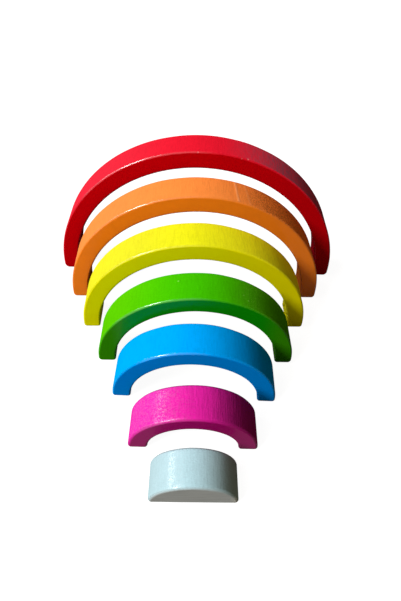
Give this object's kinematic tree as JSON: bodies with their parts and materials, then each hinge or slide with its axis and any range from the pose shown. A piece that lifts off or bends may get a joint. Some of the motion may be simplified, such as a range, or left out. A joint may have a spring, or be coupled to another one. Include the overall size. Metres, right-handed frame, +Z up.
{
  "type": "rainbow stacker",
  "caption": "Nesting wooden rainbow: painted half-ring arches and a solid half-round core that stand in a row and slide under one another.",
  "frame": {"origin": "middle of the half round's sawn base, which is also where the arches' feet are centred when the set is nested", "axes": "+X to the right along the pieces' widths, +Y from the half round towards the largest arch at the back of the row, +Z up from the surface they stand on"},
  "size_m": [0.1728, 0.1641, 0.0856],
  "materials": {
    "red_paint": "opaque red paint, satin",
    "orange_paint": "opaque orange paint, satin",
    "yellow_paint": "opaque yellow paint, satin",
    "green_paint": "opaque green paint, satin",
    "blue_paint": "opaque blue paint, satin",
    "pink_paint": "opaque magenta pink paint, satin",
    "grey_paint": "opaque pale blue-grey paint, satin"
  },
  "bodies": {
    "grey_core": {"grey_core": "grey_paint"},
    "pink_arch": {"pink_arch": "pink_paint"},
    "blue_arch": {"blue_arch": "blue_paint"},
    "green_arch": {"green_arch": "green_paint"},
    "yellow_arch": {"yellow_arch": "yellow_paint"},
    "orange_arch": {"orange_arch": "orange_paint"},
    "red_arch": {"red_arch": "red_paint"}
  },
  "joints": [
    {"name": "red_slide", "type": "slide", "parent": "grey_core", "child": "red_arch", "axis": [-0.0043, -1, 0], "range_m": [0, 0.14562]},
    {"name": "orange_slide", "type": "slide", "parent": "grey_core", "child": "orange_arch", "axis": [0.0029, -1, 0], "range_m": [0, 0.12282]},
    {"name": "yellow_slide", "type": "slide", "parent": "grey_core", "child": "yellow_arch", "axis": [0.0091, -1, 0], "range_m": [0, 0.09912]},
    {"name": "green_slide", "type": "slide", "parent": "grey_core", "child": "green_arch", "axis": [-0.0036, -1, 0], "range_m": [0, 0.07464]},
    {"name": "blue_slide", "type": "slide", "parent": "grey_core", "child": "blue_arch", "axis": [0.0035, -1, 0], "range_m": [0, 0.0516]},
    {"name": "pink_slide", "type": "slide", "parent": "grey_core", "child": "pink_arch", "axis": [0.0181, -0.9998, 0], "range_m": [0, 0.02484]}
  ]
}
